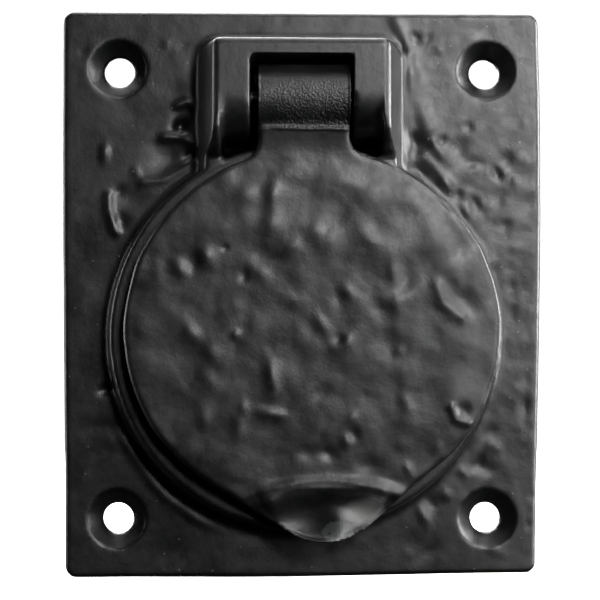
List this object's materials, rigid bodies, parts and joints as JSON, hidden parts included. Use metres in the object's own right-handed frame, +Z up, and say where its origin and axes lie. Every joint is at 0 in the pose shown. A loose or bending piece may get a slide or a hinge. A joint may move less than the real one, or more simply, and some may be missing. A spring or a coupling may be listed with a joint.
{
  "type": "covered aperture plate",
  "caption": "Cast iron face plate with countersunk corner holes, a raised round collar and a top-hung round flap with a thumb tab that covers the aperture.",
  "frame": {"origin": "centre of the plate's flat back face, which lies against the door", "axes": "+Z up the plate, towards the flap's hinge; +Y out of the back face, into the door; the front faces -Y"},
  "size_m": [0.09, 0.0198, 0.106],
  "materials": {
    "painted_casting": "satin black paint over rough sand casting",
    "painted_flap": "satin black paint over a dimpled sand casting",
    "pin_steel": "drawn steel rod, ends painted over"
  },
  "bodies": {
    "plate": {"back_plate": "painted_casting", "hinge_pin": "pin_steel"},
    "flap": {"flap": "painted_flap"}
  },
  "joints": [
    {"name": "flap_hinge", "type": "hinge", "parent": "plate", "child": "flap", "pos_m": [0, -0.0124, 0.0349], "axis": [-1, 0, 0], "range_deg": [0, 104]}
  ]
}
